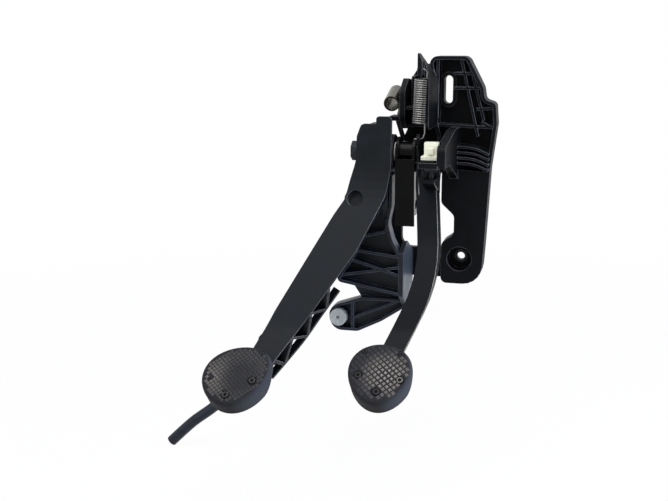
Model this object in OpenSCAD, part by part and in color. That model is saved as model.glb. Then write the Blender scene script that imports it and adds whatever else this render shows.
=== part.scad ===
// Hanging pedal box of a small car: moulded bracket, brake pedal, clutch pedal, master cylinder.
// Millimetres. X is the driver's right, Y points forward to the bulkhead, Z is up.
// The origin lies on the bulkhead face, midway between the two lower bolt holes.

/* [Bulkhead plate] */
// thickness of the plate that lies on the bulkhead
plate_t = 8; // [7:0.5:10]
// depth of the box section in front of the bulkhead
box_depth = 26; // [22:1:32]
// wall thickness of the mouldings
wall_t = 4; // [3:0.5:5]
// thickness of the stiffening ribs
rib_t = 3; // [2:0.5:4]
// distance between the two lower bolt holes
bolt_span = 130; // [128:1:134]
// bore of the steel bushes in the bolt holes
bolt_bush_d = 9; // [8:0.5:10]
// width of the upper fixing slot
slot_w = 9.5; // [8.5:0.5:11]
// length of the upper fixing slot
slot_l = 31; // [24:1:36]
// number of fins beside the right bearing
fin_count = 4; // [3:1:5]

/* [Pivot] */
// pivot bolt diameter
bolt_d = 12; // [10:0.5:13]
// wall of the flanged pivot bushes
bush_wall = 2; // [1.5:0.25:2.5]
// thickness of the bush flanges
bush_flange = 1.5; // [1:0.25:2]
// wall of the brake hub tube
tube_wall = 3.5; // [2.5:0.25:4.5]
// radius of the bearing bosses on the bracket
bearing_r = 19; // [17:0.5:20]

/* [Brake pedal] */
// width of the brake arm
brake_arm_w = 22; // [20:1:25]
// depth of the brake arm channel
brake_arm_d = 20; // [14:0.5:22]
// sheet thickness of the brake arm, fork and spring ear
sheet_t = 3; // [2.5:0.25:3.5]
// clevis hole for the servo push rod
clevis_d = 10; // [8:0.5:12]
// outer width of the servo fork
fork_w = 21; // [18:0.5:22]

/* [Clutch pedal] */
// thickness of the clutch arm's front flange
flange_t = 4; // [3:0.5:5]
// depth of the clutch arm behind its front face
arm_depth = 38; // [34:1:39]
// number of truss ribs on the lower clutch arm
truss_count = 7; // [5:1:9]
// radius of the thumb recess in the clutch arm
thumb_r = 8.5; // [6:0.5:10]

/* [Pads] */
// width of a pad across its face
pad_w = 61; // [54:1:66]
// height of a pad along its face
pad_h = 62; // [54:1:66]
// height of the clutch pad along its longer axis
clutch_pad_h = 70; // [62:1:72]
// depth of the rubber skirt
pad_t = 20; // [17:1:23]
// rubber over the steel or moulded pad plate
pad_cover = 5; // [4:0.5:7]
// angle of the pad faces from upright
pad_tilt = 48; // [46:1:50]

/* [Springs] */
// wire of the brake return spring
spring_wire = 1.8; // [1.4:0.1:2]
// outer diameter of the brake return spring
spring_od = 14; // [12:0.5:15]
// coils of the brake return spring
spring_coils = 20; // [14:1:22]
// wire of the piston spring
piston_wire = 1.2; // [1:0.1:1.4]

/* [Stop lamp switch] */
// barrel diameter of the switch
switch_d = 12; // [10:0.5:13]
// plunger diameter
plunger_d = 4.4; // [3.5:0.1:5]

/* [Master cylinder] */
// bore of the master cylinder
cylinder_bore = 19.1; // [17.5:0.1:20]
// wall of the cylinder barrel
cylinder_wall = 5; // [4:0.5:6]
// diameter of the push rod
rod_d = 8; // [7:0.5:8.5]
// push rod pin diameter
pin_d = 7; // [6:0.5:8]
// outer diameter of the supply hose
hose_d = 10; // [9:0.5:11]

/* [Upper eye and stop] */
// outer diameter of the rolled eye
eye_od = 17.5; // [16:0.5:19]
// bore of the rolled eye
eye_bore = 13; // [11:0.5:14]
// length of the rolled eye
eye_l = 34; // [28:1:38]
// diameter of the clutch stop buffer
buffer_d = 21; // [18:0.5:23]

/* [Hidden] */

$fn = 48;
corner_steps = 5;
run_gap = 0.05;
side_gap = 0.3;
far = 400;

// Pivot axis, along X
pivot_y = -70;
pivot_z = 126;
bush_id = bolt_d + 2 * run_gap;
bush_od = bush_id + 2 * bush_wall;
tube_od = bush_od + 2 * tube_wall;
flange_r = bush_od / 2 + 2.5;

// Stack along the pivot, from the bolt head to the right bearing
boss_left = -14;
boss_right = -2.5;
right_face = 52;
right_wall = 9;
tube_left = boss_right + side_gap + bush_flange;
tube_right = right_face - side_gap - bush_flange;
hub_right = boss_left - side_gap - bush_flange;
hub_left = hub_right - 23;
washer_t = 2;
washer_right = hub_left - bush_flange - side_gap;
head_right = washer_right - washer_t;
head_t = 8;
insert_x = right_face + 1;
insert_l = 6;
insert_r = bolt_d / 2 + 3;

// Pads: face centres, and the depths of their plates below the face
brake_pad = [12, -216, -76.7];
clutch_pad = [-135.4, -232, -83.6];
plate_top = -pad_cover;
plate_back = plate_top - 4;
plate_inset = 3;

// Brake arm: centre line seen from the front, front face seen from the side
brake_centre = [[36.25, 150], [36.25, 96, 80], [46.5, 0, 130], [7, -90.5]];
brake_front = [[-91, 140], [-91, 114, 20], [-118, 40, 110],
  up_pad(brake_pad, 54, 30), up_pad(brake_pad, -30)];
switch_x = 44.5;
switch_y = -118;
striker_z = 104;
clevis_y = -73;
clevis_z = 69;
fork_x = 0.6;
ear_x = 28.5;
ear_y = -114;
ear_z = 144;
horn_y = -105;
horn_z = 217;

// Clutch arm: web line seen from the front, front face seen from the side
clutch_centre = [[-26, 157], [-26, 92, 50], [-66, 20, 200], [-128, -100]];
clutch_front = [[-100, 168], [-100, 92, 90], up_pad(clutch_pad, 62, 40), up_pad(clutch_pad, -45)];
clutch_outline = [[-34, 158, 5], [-18, 158, 1], [-18, 166, 3], [-1.2, 166, 4], [-1.5, 112, 40],
  [-6, 82, 40], [-30, 28, 60], [-68, -30, 60], [-114, -98, 6], [-139, -98, 6], [-110, -33, 60],
  [-78.5, 27, 60], [-60, 62, 12], [-50, 78, 12], [-46, 97, 30], [-40, 118, 30], [-39, 145, 8]];
thumb = [-39, -108.5, 79];
// Lean of the arm's straight part, and the right edge of its truss as X and length along that part
arm_lean = atan2(clutch_front[1][0] - clutch_front[2][0], clutch_front[1][1] - clutch_front[2][1]);
truss_edge = [[-51, -110], [-68, -140], [-97, -194], [-108, -214]];
truss_depth = arm_depth - 3;

// Master cylinder: pin of the push rod at rest, barrel axis along Y
clutch_range = 26;
pin_r = 70;
pin_y = pivot_y - pin_r * sin(clutch_range / 2);
pin_z = pivot_z - pin_r * cos(clutch_range / 2);
cylinder_x = -45;
cylinder_z = pivot_z - pin_r * (1 + cos(clutch_range / 2)) / 2;
cylinder_r = cylinder_bore / 2 + cylinder_wall;
stroke = 2 * pin_r * sin(clutch_range / 2);
mouth_y = -34;
circlip_y = mouth_y + 1.2;
circlip_t = 1.5;
piston_y = circlip_y + circlip_t + side_gap;
piston_l = 20;
piston_r = cylinder_bore / 2 - run_gap;
socket_r = rod_d / 2 + 1.6;
socket_l = 8;
spring_end_y = piston_y + piston_l + stroke + 9;
nose_y = spring_end_y + 6;
port_y = nose_y + 12;
port_d = 10;
elbow_y = piston_y + piston_l / 2;
elbow_r = hose_d / 2 + 2;
socket_floor = cylinder_bore / 2 + cylinder_wall + 11;

// Rolled eye, tilted about X, its bore running forward and up
eye_tilt = 18;
eye_mid = [-eye_od / 2, -46, 182.5];

// Buffer on the tongue
buffer_x = -71;
buffer_z = -71;
buffer_face = -55;
tongue_y = -34;

// Heights of the screws that hold the leg to the plate
leg_screw_z = [-17, -4];

// Route of the supply hose, from the floor of the elbow's socket to its open end
hose_route = [from_elbow(socket_floor), from_elbow(socket_floor + 10.5), from_elbow(socket_floor + 18),
  [-86, -23, 6], [-103, -26, -25], [-124, -30, -56], [-150, -36, -98], [-174, -42, -138],
  [-198, -47, -168], [-228, -52, -196], [-255, -56, -217], [-283, -58, -244]];

// Bulkhead plate outlines, X and Z with a corner radius
right_outline = [[26, 228, 9], [69, 228, 9], [87, 194, 14], [89, 181, 6], [101, 177, 6], [103, 154, 10],
  [97, 104, 40], [93, 20, 30], [90, -29, 22], [44, -29, 7], [44, 18, 8], [58, 28, 8], [58, 50, 8],
  [43, 64, 8], [43, 118, 8], [34, 150, 8]];
left_outline = [[1, 198, 4], [12, 216, 5], [40, 224], [60, 150], [60, 32], [46, 20], [46, -26], [4, -26, 4],
  [-48, -22, 14], [-80, -14, 16], [-84, 24, 16], [-68, 80, 16], [-40, 96, 14], [-12, 104, 8],
  [-8, 128, 4], [2, 150, 6]];
servo_opening = [[-5, 8, 12], [-5, 96, 10], [64, 96], [64, 26], [40, 8, 10]];
// Line across the right box between the ribbed tray above and the smooth face below
split_left = 104;
split_right = 96;
slot_x = 47;
slot_z = 191;

// Y and Z point on the back plane of a pad's plate, s up the pad from its centre, with a corner radius
function up_pad(centre, s, r = 0) =
  [centre[1] + s * sin(pad_tilt) - plate_back * cos(pad_tilt),
    centre[2] + s * cos(pad_tilt) + plate_back * sin(pad_tilt), r];

// Point at a distance from the cylinder's axis along the supply port, down and to the left
function from_elbow(d) = [cylinder_x - d * cos(45), elbow_y, cylinder_z - d * sin(45)];

function unit(v) = v / norm(v);
function flat(p) = [p[0], p[1]];

// Points of the arc that rounds corner b between its neighbours a and c
function corner_points(a, b, c) =
  b[2] == undef || b[2] == 0 ? [flat(b)] :
  let (
    u = unit(flat(a) - flat(b)),
    w = unit(flat(c) - flat(b)),
    half = acos(u * w) / 2,
    centre = flat(b) + unit(u + w) * b[2] / sin(half),
    p = flat(b) + u * b[2] / tan(half) - centre,
    q = flat(b) + w * b[2] / tan(half) - centre,
    start = atan2(p[1], p[0]),
    turn = atan2(q[1], q[0]) - start,
    sweep = turn > 180 ? turn - 360 : turn < -180 ? turn + 360 : turn,
    step = sweep / corner_steps
  )
  [for (i = [0 : corner_steps]) centre + b[2] * [cos(start + step * i), sin(start + step * i)]];

// Closed outline with rounded corners
function rounded(pts) =
  let (n = len(pts))
  [for (i = [0 : n - 1]) each corner_points(pts[(i + n - 1) % n], pts[i], pts[(i + 1) % n])];

// Open path with rounded corners
function smooth(pts) =
  let (n = len(pts))
  concat(
    [flat(pts[0])],
    [for (i = [1 : n - 2]) each corner_points(pts[i - 1], pts[i], pts[i + 1])],
    [flat(pts[n - 1])]);

function left_of(a, b) = let (t = unit(b - a)) [-t[1], t[0]];
function mitre(n1, n2) = (n1 + n2) / (1 + n1 * n2);

// Path moved sideways by d, to the right for a path that runs down
function moved(path, d) =
  let (n = len(path))
  [for (i = [0 : n - 1])
    let (
      before = left_of(path[max(i - 1, 0)], path[max(i, 1)]),
      after = left_of(path[min(i, n - 2)], path[min(i + 1, n - 1)])
    )
    path[i] + d * mitre(before, after)];

// Corners of a clockwise outline moved inwards by d, with their radii kept concentric
function shrunk(pts, d) =
  let (n = len(pts))
  [for (i = [0 : n - 1])
    let (
      before = left_of(flat(pts[(i + n - 1) % n]), flat(pts[i])),
      after = left_of(flat(pts[i]), flat(pts[(i + 1) % n])),
      p = flat(pts[i]) - d * mitre(before, after),
      r = pts[i][2] == undef ? 0 : pts[i][2],
      convex = before[0] * after[1] - before[1] * after[0] < 0
    )
    [p[0], p[1], convex ? max(r - d, 0) : r + d]];

// Band between two sideways moves of a path
function band(path, a, b) =
  let (far_side = moved(path, b), n = len(path))
  concat(moved(path, a), [for (i = [n - 1 : -1 : 0]) far_side[i]]);

// Egg outline of a pad, narrow at its lower end
function egg(w, h) =
  [for (i = [0 : 39]) [w / 2 * cos(9 * i) * (1 + 0.14 * sin(9 * i)), h / 2 * sin(9 * i)]];

// X and Z outline pushed from y_back towards the driver
module front_slab(y_back, depth) {
  translate([0, y_back, 0])
    rotate([90, 0, 0])
      linear_extrude(depth)
        children();
}

// Y and Z outline pushed along X
module side_slab(x, width) {
  translate([x, 0, 0])
    rotate([90, 0, 90])
      linear_extrude(width)
        children();
}

// Straight rib between two X and Z points
module front_rib(a, b, y_back, depth) {
  front_slab(y_back, depth)
    polygon(band([a, b], -rib_t / 2, rib_t / 2));
}

// Round bar along X at a Y and Z place
module bar_x(x, length, y, z, r) {
  translate([x, y, z])
    rotate([0, 90, 0])
      cylinder(h = length, r = r);
}

// Round bar along Y at an X and Z place
module bar_y(y, length, x, z, r) {
  translate([x, y, z])
    rotate([-90, 0, 0])
      cylinder(h = length, r = r);
}

module pivot_bar(x, length, r) {
  bar_x(x, length, pivot_y, pivot_z, r);
}

// Frame of a pad: its own Z leaves the face, its own Y climbs the face
module pad_frame(centre) {
  translate(centre)
    rotate([90 - pad_tilt, 0, 0])
      children();
}

// Space of the leaning eye: its own Z runs along the bore
module eye_frame() {
  translate(eye_mid)
    rotate([eye_tilt - 90, 0, 0])
      children();
}

// Half plane of the right box above or below its dividing wall
module above_split(gap) {
  polygon([[0, split_left + gap], [150, split_right + gap], [150, 300], [0, 300]]);
}

module below_split(gap) {
  polygon([[0, split_left - gap], [150, split_right - gap], [150, -100], [0, -100]]);
}

// Right box: ribbed tray open to the driver above, smooth shell open to the bulkhead below
module right_box() {
  inner = rounded(shrunk(right_outline, wall_t));
  difference() {
    front_slab(0, box_depth)
      polygon(rounded(right_outline));
    front_slab(-plate_t, box_depth)
      intersection() {
        polygon(inner);
        above_split(wall_t / 2);
      }
    difference() {
      front_slab(1, box_depth + 1 - wall_t)
        intersection() {
          polygon(inner);
          below_split(wall_t / 2);
        }
      bar_y(-box_depth, box_depth + 2, bolt_span / 2, 0, 18);
      front_rib([50, 44], [100, 44], 1, box_depth);
      front_rib([50, 74], [100, 74], 1, box_depth);
      front_rib([76, 17], [76, 120], 1, box_depth);
    }
    bar_y(-box_depth - 1, box_depth + 1 - plate_t, bolt_span / 2, 0, 14);
  }
  intersection() {
    front_slab(-plate_t / 2, box_depth - 2 - plate_t / 2)
      intersection() {
        polygon(rounded(shrunk(right_outline, wall_t / 2)));
        above_split(0);
      }
    union() {
      front_rib([30, 152], [110, 150], 0, far);
      front_rib([60, 232], [82, 140], 0, far);
      front_rib([68, 232], [88, 158], 0, far);
      front_rib([54, 209], [90, 209], 0, far);
      front_rib([54, 193], [100, 193], 0, far);
      front_rib([36, 196], [26, 226], 0, far);
      front_rib([36, 230], [36, 160], 0, far);
      front_rib([80, 170], [106, 172], 0, far);
      front_rib([86, 156], [100, 148], 0, far);
    }
  }
  for (dz = [-1, 1])
    bar_y(-plate_t - 6, plate_t + 5, slot_x, slot_z + dz * (slot_l - slot_w) / 2, slot_w / 2 + wall_t);
  translate([slot_x - slot_w / 2 - wall_t, -plate_t - 6, slot_z - (slot_l - slot_w) / 2])
    cube([slot_w + 2 * wall_t, plate_t + 5, slot_l - slot_w]);
}

// Bowed fins that brace the right bearing against the rim
module fins() {
  pitch = 24 / fin_count;
  half = rib_t / 2 - 0.25;
  for (i = [0 : fin_count - 1])
    front_slab(-1, box_depth + 8)
      translate([0, -pitch * i])
        polygon(band(smooth([[58, 129], [80, 128, 40], [95.5, 121]]), -half, half));
}

// Walls of the pivot tower, with the horn for the return spring
module tower() {
  side_slab(0, 6)
    polygon(rounded([[-1, 149], [-1, 200], [-40, 204, 8], [-62, 192, 8], [-62, 160, 12], [-44, 149, 6]]));
  difference() {
    union() {
      side_slab(32, 5)
        polygon(rounded([[-1, 152], [-1, 196], [-24, 198, 10], [-98, 229, 10], [-95, 186, 14],
          [-95, 152, 6]]));
      side_slab(27, 5)
        polygon(rounded([[-60, 200, 4], [-60, 212, 6], [-102, 232, 2], [-111, 232, 2], [-111, 210.5, 2],
          [-90, 210.5, 6]]));
    }
    front_slab(-9, far)
      polygon([[28.6, 232.5], [40, 232.5], [40, 202]]);
    bar_x(far * -0.5, far, horn_y, horn_z, spring_wire / 2 + 0.9);
  }
  front_rib([10, 150], [10, 206], -1, 34);
  front_rib([20, 150], [20, 214], -1, 34);
  front_rib([0, 172], [36, 172], -1, 54);
  front_rib([0, 151.5], [36, 153.5], -1, 40);
  translate([-13, -52, 158])
    cube([14, 26, 5]);
  side_slab(-6, rib_t)
    polygon([[-52, 158], [-26, 158], [-26, 150], [-7, 138], [-7, 128], [-36, 148]]);
}

// Left bearing of the pivot bolt, on its own cheek
module left_bearing() {
  side_slab(boss_left + 4, boss_right - boss_left - 4)
    polygon([[-1, 98], [-1, 124], [-60, 142], [-88, 122], [-60, 107]]);
  pivot_bar(boss_left, boss_right - boss_left, bearing_r);
}

// Right bearing, blind to the right, and the carrier of the stop lamp switch
module right_bearing() {
  side_slab(right_face, right_wall)
    polygon(rounded([[-1, 92], [-1, 150], [-58, 150, 10], [-134, 138, 6], [-134, 116.5, 3], [-98, 116.5, 10],
      [-64, 106, 14], [-24, 92, 10]]));
  pivot_bar(right_face, right_wall, bearing_r);
  translate([33, -134, 116])
    cube([right_face - 32, 34, 6]);
}

module main_bracket() {
  color([0.13, 0.14, 0.15])
    difference() {
      union() {
        front_slab(0, plate_t)
          difference() {
            polygon(rounded(left_outline));
            polygon(rounded(servo_opening));
          }
        right_box();
        fins();
        tower();
        left_bearing();
        right_bearing();
      }
      for (dz = [-1, 1])
        bar_y(-box_depth, box_depth + 1, slot_x, slot_z + dz * (slot_l - slot_w) / 2, slot_w / 2);
      translate([slot_x - slot_w / 2, -box_depth, slot_z - (slot_l - slot_w) / 2])
        cube([slot_w, box_depth + 1, slot_l - slot_w]);
      for (side = [-1, 1])
        bar_y(-plate_t - 1, plate_t + 2, side * bolt_span / 2, 0, bolt_bush_d / 2 + 2.5);
      bar_y(-plate_t - 1, plate_t + 2, cylinder_x, cylinder_z, cylinder_r + 0.5);
      for (side = [-1, 1])
        bar_y(-plate_t - 1, plate_t + 2, cylinder_x + side * (cylinder_r + 7), cylinder_z, 3);
      pivot_bar(boss_left - 1, right_face + 6 - boss_left, bush_id / 2);
      pivot_bar(insert_x, insert_l, insert_r);
      translate([switch_x, switch_y, 100])
        cylinder(h = 40, r = switch_d / 2 + 2);
      translate([switch_x, switch_y, 122])
        cylinder(h = 30, r = switch_d / 2 + 4.5 + side_gap);
      for (y = [-50, -30])
        bar_x(-1, 8, y, 166, 2);
      for (z = leg_screw_z)
        bar_y(-plate_t - 1, plate_t + 2, -6, z, 2.5);
      bar_x(-12, 12, -34, 116, 2.5);
    }
}

// Side moulding that braces the clutch side and carries the stop
module clutch_leg() {
  panel = [[-13, 103, 4], [-5, 103, 4], [-5, 66, 10], [-9, 45, 20], [-4, 28, 14], [6, 8, 10], [7, -36, 5],
    [-70, -22, 5], [-52, 4, 30], [-34, 42, 20], [-13, 74, 10]];
  tongue = [[-44, -46, 5], [7, -46], [7, -55], [-20, -73, 30], [-48, -87, 14], [-78, -87, 14],
    [-85, -60, 14]];
  color([0.15, 0.16, 0.17])
    difference() {
      union() {
        front_slab(-56, 5)
          polygon(rounded(panel));
        front_slab(-56, 18)
          difference() {
            polygon(rounded(panel));
            polygon(rounded(shrunk(panel, rib_t)));
          }
        intersection() {
          front_slab(-56, 17)
            polygon(rounded(panel));
          union() {
            front_rib([-50, 15], [8, 8], 0, far);
            front_rib([-60, 6.5], [8, -14], 0, far);
            front_rib([-70, -16.5], [8, -2.5], 0, far);
            front_rib([-12, 37], [-4, 70], 0, far);
            front_rib([-12, 37], [-40, 30], 0, far);
          }
        }
        side_slab(4, 5)
          polygon(rounded([[-74, -36, 2], [-74, 14, 4], [-50, 24, 8], [-plate_t, 4], [-plate_t, -27],
            [-22, -52, 4], [-50, -52, 3]]));
        front_slab(-plate_t, 5)
          polygon(rounded([[-14, -25, 4], [-14, 2, 4], [6, 2], [6, -25]]));
        front_slab(tongue_y, 5)
          polygon(rounded(tongue));
        front_slab(tongue_y - 0.5, 4)
          polygon([[-62, -24], [6, -12], [6, -48], [-46, -48]]);
        front_slab(tongue_y, 16)
          difference() {
            polygon(rounded(tongue));
            polygon(rounded(shrunk(tongue, rib_t)));
          }
        intersection() {
          front_slab(tongue_y, 14)
            polygon(rounded(tongue));
          union() {
            front_rib([-55, -40], [-55, -90], 0, far);
            front_rib([-55, -72], [0, -48], 0, far);
          }
        }
        bar_y(buffer_face + 8, tongue_y - buffer_face - 8, buffer_x, buffer_z, buffer_d / 2);
        side_slab(-15.9, 5.9)
          polygon(rounded([[-72, 70, 4], [-72, 102, 3], [-48, 102, 4], [-46, 124, 3], [-24, 124, 4],
            [-24, 104, 6], [-48, 70, 14], [-57, 40, 4]]));
      }
      bar_y(buffer_face, 40, buffer_x, buffer_z, 4);
      for (z = leg_screw_z)
        bar_y(-plate_t - 6, 7, -6, z, 2.5);
      bar_x(-17, 8, -34, 116, 2.5);
    }
}

module leg_screws() {
  color([0.72, 0.73, 0.74]) {
    for (z = leg_screw_z) {
      bar_y(-plate_t - 5, plate_t + 4, -6, z, 2.5);
      bar_y(-plate_t - 9, 4, -6, z, 4.6);
    }
    bar_x(-15.9, 13, -34, 116, 2.5);
    bar_x(-19.4, 3.5, -34, 116, 4.6);
  }
}

module bolt_bushes() {
  color([0.7, 0.68, 0.6])
    for (side = [-1, 1])
      difference() {
        bar_y(-plate_t, plate_t, side * bolt_span / 2, 0, bolt_bush_d / 2 + 2.5);
        bar_y(-plate_t - 1, plate_t + 2, side * bolt_span / 2, 0, bolt_bush_d / 2);
      }
}

// Rolled steel eye with a flat tab on the tower's left wall
module rolled_eye() {
  color([0.62, 0.58, 0.48])
    difference() {
      union() {
        eye_frame()
          translate([0, 0, -eye_l / 2])
            cylinder(h = eye_l, r = eye_od / 2);
        side_slab(-2.5, 2.5)
          polygon(rounded([[-57, 163.5, 2], [-57, 178, 2], [-32, 188, 2], [-26, 163.5, 2]]));
      }
      eye_frame()
        translate([0, 0, -eye_l])
          cylinder(h = 2 * eye_l, r = eye_bore / 2);
      for (y = [-50, -30])
        bar_x(-4, 8, y, 166, 2);
    }
}

module eye_screws() {
  color([0.72, 0.73, 0.74])
    for (y = [-50, -30]) {
      bar_x(-2.5, 9, y, 166, 2);
      bar_x(-4.7, 2.2, y, 166, 2.4);
    }
}

module stop_buffer() {
  color([0.66, 0.67, 0.66])
    difference() {
      union() {
        bar_y(buffer_face, 8, buffer_x, buffer_z, buffer_d / 2 - 0.5);
        bar_y(buffer_face + 4, tongue_y - buffer_face - 4, buffer_x, buffer_z, 4);
      }
      bar_y(buffer_face - 1, 4, buffer_x, buffer_z, 2.2);
    }
}

module pivot_bolt() {
  color([0.5, 0.5, 0.52]) {
    pivot_bar(head_right, insert_x + insert_l - head_right, bolt_d / 2);
    translate([head_right - head_t, pivot_y, pivot_z])
      rotate([0, 90, 0])
        cylinder(h = head_t - 2, r = bolt_d * 0.9, $fn = 6);
    pivot_bar(head_right - 2, 2, bolt_d * 0.95);
  }
}

module pivot_washer() {
  color([0.72, 0.73, 0.74])
    difference() {
      pivot_bar(head_right, washer_t, bolt_d);
      pivot_bar(head_right - 1, washer_t + 2, bolt_d / 2 + 0.2);
    }
}

module pivot_insert() {
  color([0.75, 0.6, 0.3])
    difference() {
      pivot_bar(insert_x, insert_l, insert_r);
      pivot_bar(insert_x - 1, insert_l + 2, bolt_d / 2);
    }
}

// Flanged bush: sleeve from x, flange at its outer end; outward is -1 to the left and 1 to the right
module flanged_bush(x, outward) {
  color([0.8, 0.79, 0.74])
    difference() {
      union() {
        pivot_bar(outward > 0 ? x - 9 : x, 9, bush_od / 2);
        pivot_bar(outward > 0 ? x : x - bush_flange, bush_flange, flange_r);
      }
      pivot_bar(x - 20, 40, bush_id / 2);
    }
}

module brake_bush_left() {
  flanged_bush(tube_left, -1);
}

module brake_bush_right() {
  flanged_bush(tube_right, 1);
}

module clutch_bush_left() {
  flanged_bush(hub_left, -1);
}

module clutch_bush_right() {
  flanged_bush(hub_right, 1);
}

module brake_tube() {
  color([0.08, 0.08, 0.09])
    difference() {
      pivot_bar(tube_left, tube_right - tube_left, tube_od / 2);
      pivot_bar(tube_left - 1, tube_right - tube_left + 2, bush_od / 2);
    }
}

// Brake arm as a folded channel, open to the bulkhead, with two eyes round the hub tube
module brake_arm() {
  front = smooth(brake_front);
  centre = smooth(brake_centre);
  half = brake_arm_w / 2;
  color([0.1, 0.11, 0.13])
    difference() {
      union() {
        intersection() {
          front_slab(0, far)
            polygon(band(centre, -half, half));
          side_slab(-100, 300)
            polygon(band(front, 0, sheet_t));
        }
        for (side = [-1, 1])
          intersection() {
            front_slab(0, far)
              polygon(band(centre, side * half, side * (half - sheet_t)));
            side_slab(-100, 300)
              union() {
                polygon(band(front, 0, brake_arm_d));
                polygon([[-91, 138], [-78, 144], [-52, 118], [-78, 84], [-103, 80]]);
                translate([pivot_y, pivot_z])
                  circle(r = tube_od / 2 + 5.5);
              }
          }
        side_slab(switch_x - 8, 13)
          translate([0, striker_z])
            polygon([[-128, -4], [-128, 0], [-92, 0], [-96, -14], [-102, -14]]);
      }
      pivot_bar(0, 60, tube_od / 2);
      translate([ear_x, -120, pivot_z - 10])
        cube([sheet_t, 45, 60]);
      pad_frame(brake_pad)
        translate([-100, -124, -100])
          cube([200, 100, 200]);
    }
}

// Fork for the servo push rod: two cheeks and a front web
module brake_fork() {
  color([0.05, 0.05, 0.06])
    difference() {
      union() {
        for (x = [fork_x, fork_x + fork_w - sheet_t])
          side_slab(x, sheet_t)
            union() {
              translate([pivot_y, pivot_z])
                circle(r = tube_od / 2 + 5);
              translate([clevis_y, clevis_z])
                circle(r = clevis_d / 2 + 7);
              polygon([[-88, 120], [-58, 112], [-61, 68], [-84, 64]]);
            }
        side_slab(fork_x, fork_w)
          polygon(band([[-88, 120], [-83, 46]], 0, sheet_t));
      }
      pivot_bar(-5, 40, tube_od / 2);
      bar_x(-5, 40, clevis_y, clevis_z, clevis_d / 2 + run_gap);
    }
}

// Ear that the return spring pulls on
module spring_ear() {
  color([0.07, 0.07, 0.08])
    difference() {
      side_slab(ear_x, sheet_t)
        union() {
          translate([pivot_y, pivot_z])
            circle(r = tube_od / 2 + 5);
          polygon([[-76, 144], [ear_y, ear_z + 5.5], [ear_y, ear_z - 5.5], [-86, 118]]);
          translate([ear_y, ear_z])
            circle(r = 5.5);
        }
      pivot_bar(20, 20, tube_od / 2);
      bar_x(20, 20, ear_y, ear_z, spring_wire / 2 + 0.9);
    }
}

module brake_pad_plate() {
  color([0.2, 0.2, 0.21])
    pad_frame(brake_pad)
      translate([0, 0, plate_back])
        linear_extrude(plate_top - plate_back)
          polygon(egg(pad_w - 2 * plate_inset, pad_h - 2 * plate_inset));
}

// Rubber cap of a pad: crowned face, skirt, pocket for the plate, round studs in the face
module pad_rubber(turn, height) {
  difference() {
    rotate([0, 0, turn])
      union() {
        translate([0, 0, -pad_t])
          linear_extrude(pad_t - 2.5)
            polygon(egg(pad_w + 2, height + 2));
        translate([0, 0, -2.5])
          linear_extrude(1.3)
            polygon(egg(pad_w, height));
        translate([0, 0, -1.2])
          linear_extrude(1.2)
            polygon(egg(pad_w - 5, height - 5));
      }
    rotate([0, 0, turn])
      translate([0, 0, -pad_t - 1])
        linear_extrude(pad_t + 1 + plate_top)
          polygon(egg(pad_w - 2 * plate_inset, height - 2 * plate_inset));
    for (p = [[-20, 19], [20, 19], [-23, -3], [21, -3], [0, -21]])
      rotate([0, 0, turn])
        translate([p[0], p[1], -1.4])
          difference() {
            cylinder(h = 3, r = 4);
            cylinder(h = 3, r = 1.8);
          }
  }
}

module brake_pad_rubber() {
  color([0.16, 0.16, 0.16])
    difference() {
      pad_frame(brake_pad)
        pad_rubber(0, pad_h);
      pad_frame(brake_pad)
        translate([-12, 0, -60])
          cube([38, 60, 60 + plate_back + side_gap]);
    }
}

// Clutch arm: front flange, web, back flange and truss ribs, hub and pad plate in one moulding
module clutch_arm() {
  front = smooth(clutch_front);
  centre = smooth(clutch_centre);
  hub_r = bush_od / 2 + 6;
  side = [[-98, 160], [-80, 148], [-54, 134], [-54, 116], [-68, 84], [-98, 76]];
  pin = [pin_y, pin_z];
  inwards = left_of(flat(clutch_front[1]), flat(clutch_front[2]));
  pin_depth = (pin - flat(clutch_front[1])) * inwards;
  color([0.16, 0.17, 0.18])
    difference() {
      union() {
        intersection() {
          front_slab(0, far)
            polygon(rounded(clutch_outline));
          side_slab(-200, 300)
            polygon(band(front, 0, flange_t));
        }
        difference() {
          union() {
            intersection() {
              front_slab(0, far)
                polygon(band(centre, -2, 2));
              side_slab(-200, 300)
                union() {
                  polygon(band(front, 1, arm_depth));
                  polygon(side);
                }
            }
            intersection() {
              front_slab(0, far)
                polygon(band(centre, -8, 8));
              side_slab(-200, 300)
                union() {
                  truss(40, 92, 2, 3, arm_depth);
                  truss(152, 200, 2, 3, arm_depth);
                }
            }
          }
          rod_pocket();
        }
        side_slab(cylinder_x - 2, 4)
          polygon(band([pin, pin - (pin_depth - flange_t / 2) * inwards], -8, 8));
        intersection() {
          arm_space()
            front_slab(40, 80)
              polygon(band(truss_edge, -32, 0));
          side_slab(-200, 300)
            truss(192, 290, truss_count, 3, truss_depth);
        }
        intersection() {
          arm_space()
            front_slab(40, 80)
              polygon(band(truss_edge, -8, 0));
          side_slab(-200, 300)
            polygon(band(front, truss_depth - 3, truss_depth));
        }
        thumb_frame()
          translate([0, 0, -10])
            cylinder(h = 9, r = thumb_r + 3);
        pivot_bar(hub_left, hub_right - hub_left, hub_r);
        bar_x(cylinder_x - 2, 4, pin_y, pin_z, pin_d / 2 + 5);
        pad_frame(clutch_pad)
          rotate([0, 0, 128])
            translate([0, 0, plate_back - 1])
              linear_extrude(plate_top - plate_back + 1)
                polygon(egg(pad_w - 2 * plate_inset, clutch_pad_h - 2 * plate_inset));
      }
      pivot_bar(hub_left - 1, hub_right - hub_left + 2, bush_od / 2);
      bar_x(cylinder_x - 20, 40, pin_y, pin_z, pin_d / 2 + run_gap);
      pad_frame(clutch_pad)
        translate([-100, -124, -100])
          cube([200, 100, 100 + plate_back]);
      thumb_frame()
        translate([0, 0, -7])
          cylinder(h = 20, r = thumb_r);
    }
}

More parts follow.
